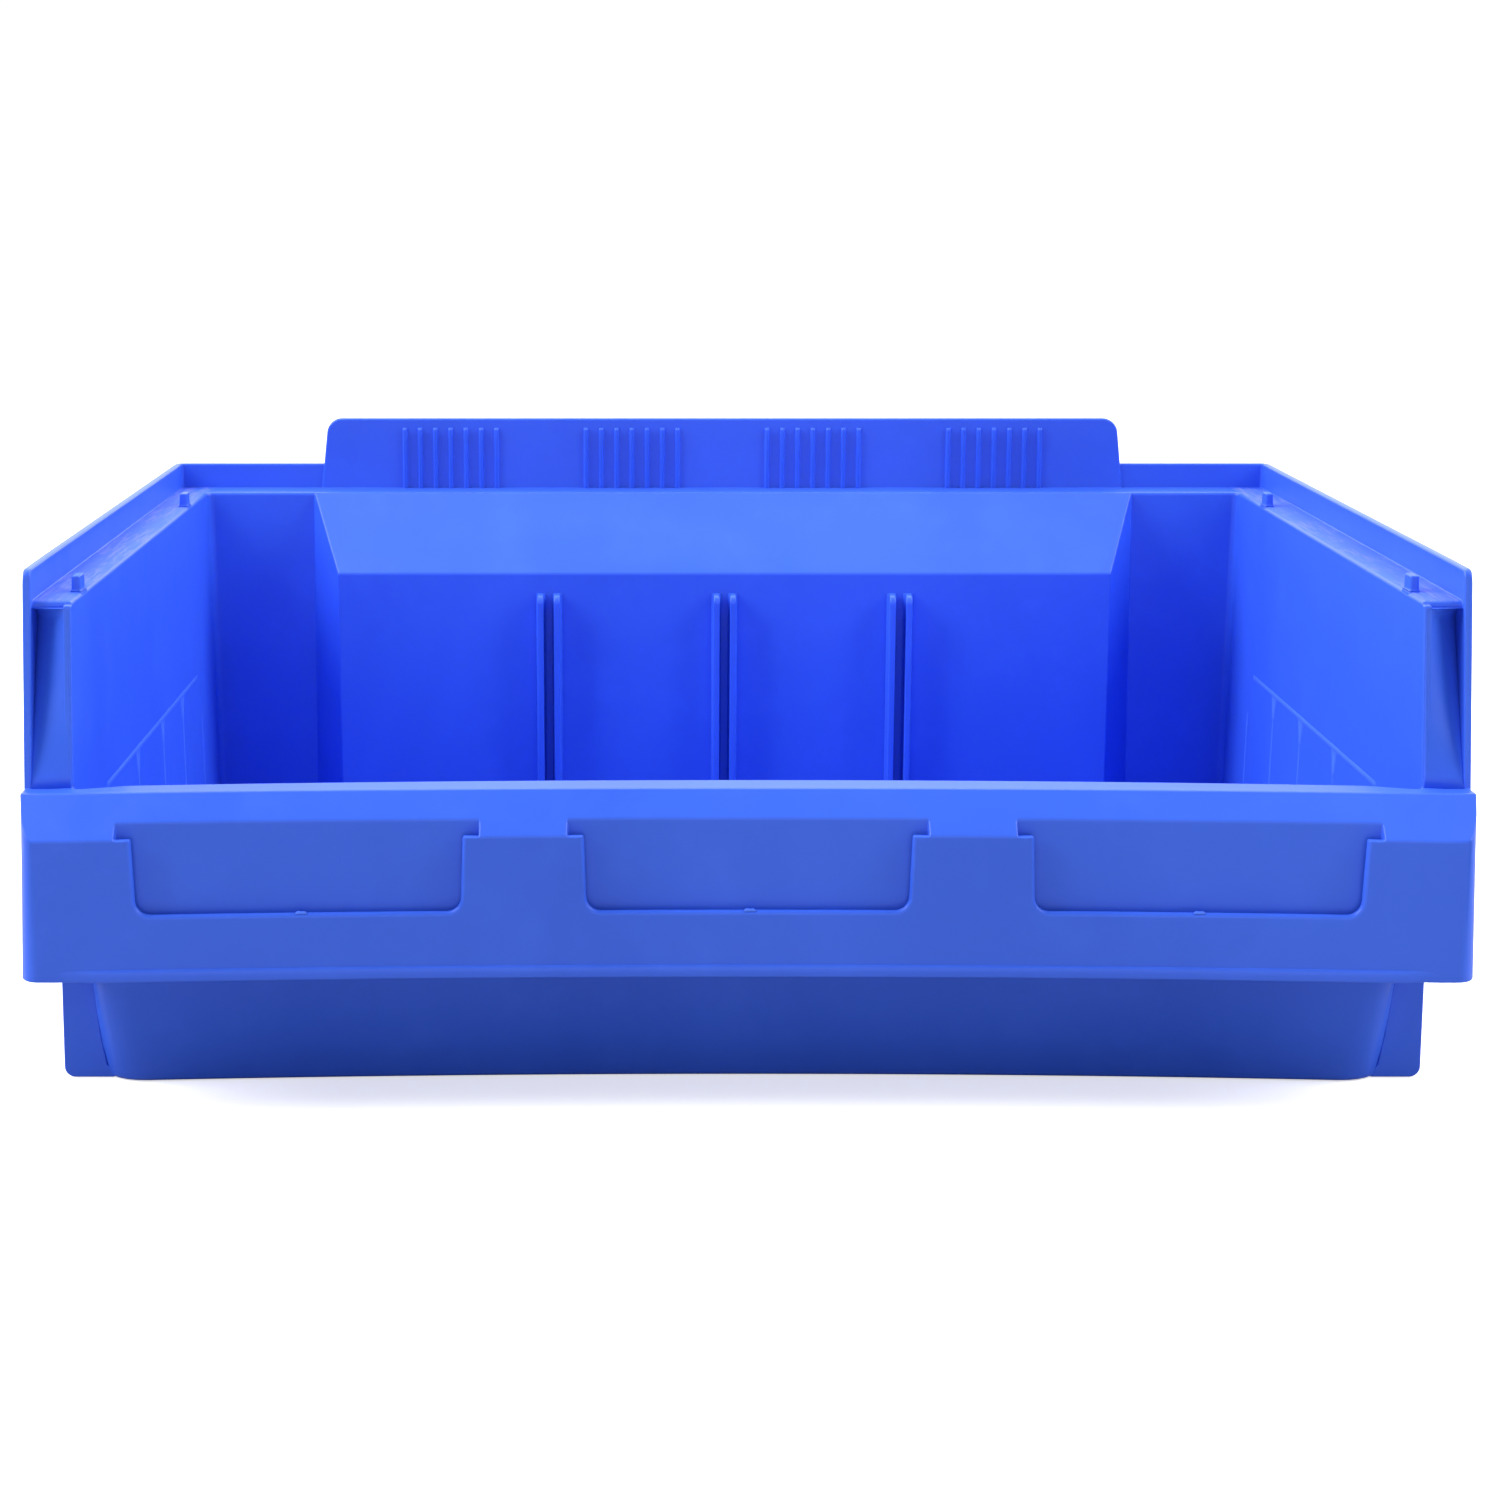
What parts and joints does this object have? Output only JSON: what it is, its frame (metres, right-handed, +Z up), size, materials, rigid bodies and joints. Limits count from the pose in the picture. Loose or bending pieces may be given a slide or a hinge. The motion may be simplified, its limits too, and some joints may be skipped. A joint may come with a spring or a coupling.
{
  "type": "stackable storage bin",
  "caption": "Open-fronted stackable plastic storage bin with a label band across the front, a hanging tab at the back, stacking ledges and divider guides.",
  "frame": {"origin": "centre of the 400 x 300 mm footprint, on the surface the bin stands on", "axes": "+X along the width, to the right when facing the open front; +Y towards the hanging tab at the back; +Z up"},
  "size_m": [0.4, 0.3, 0.1665],
  "materials": {
    "moulded_plastic": "moulded polypropylene, semi-gloss, with fine flow marks and light scuffs on the ledges"
  },
  "bodies": {
    "root": {"divider_guide_1": "moulded_plastic", "divider_guide_2": "moulded_plastic", "divider_guide_3": "moulded_plastic", "divider_guide_4": "moulded_plastic", "divider_guide_5": "moulded_plastic", "divider_guide_6": "moulded_plastic", "floor_panel": "moulded_plastic", "foot_gusset_left_1": "moulded_plastic", "foot_gusset_left_2": "moulded_plastic", "foot_gusset_left_3": "moulded_plastic", "foot_gusset_left_4": "moulded_plastic", "foot_gusset_left_5": "moulded_plastic", "foot_gusset_left_6": "moulded_plastic", "foot_gusset_left_7": "moulded_plastic", "foot_gusset_right_1": "moulded_plastic", "foot_gusset_right_2": "moulded_plastic", "foot_gusset_right_3": "moulded_plastic", "foot_gusset_right_4": "moulded_plastic", "foot_gusset_right_5": "moulded_plastic", "foot_gusset_right_6": "moulded_plastic", "foot_gusset_right_7": "moulded_plastic", "foot_shelf_left": "moulded_plastic", "foot_shelf_right": "moulded_plastic", "front_lip": "moulded_plastic", "front_wall": "moulded_plastic", "front_web_left": "moulded_plastic", "front_web_right": "moulded_plastic", "grip_recess_cheek_left": "moulded_plastic", "grip_recess_cheek_right": "moulded_plastic", "grip_recess_panel": "moulded_plastic", "grip_recess_slope": "moulded_plastic", "hanging_tab": "moulded_plastic", "label_band": "moulded_plastic", "label_pocket_1": "moulded_plastic", "label_pocket_2": "moulded_plastic", "label_pocket_3": "moulded_plastic", "rear_corner_wall_left": "moulded_plastic", "rear_corner_wall_right": "moulded_plastic", "rear_ledge": "moulded_plastic", "rear_skirt": "moulded_plastic", "side_ledge_left": "moulded_plastic", "side_ledge_right": "moulded_plastic", "side_skirt_left": "moulded_plastic", "side_skirt_right": "moulded_plastic", "side_wall_left": "moulded_plastic", "side_wall_right": "moulded_plastic", "stacking_nub_left_1": "moulded_plastic", "stacking_nub_left_2": "moulded_plastic", "stacking_nub_right_1": "moulded_plastic", "stacking_nub_right_2": "moulded_plastic"}
  },
  "joints": []
}
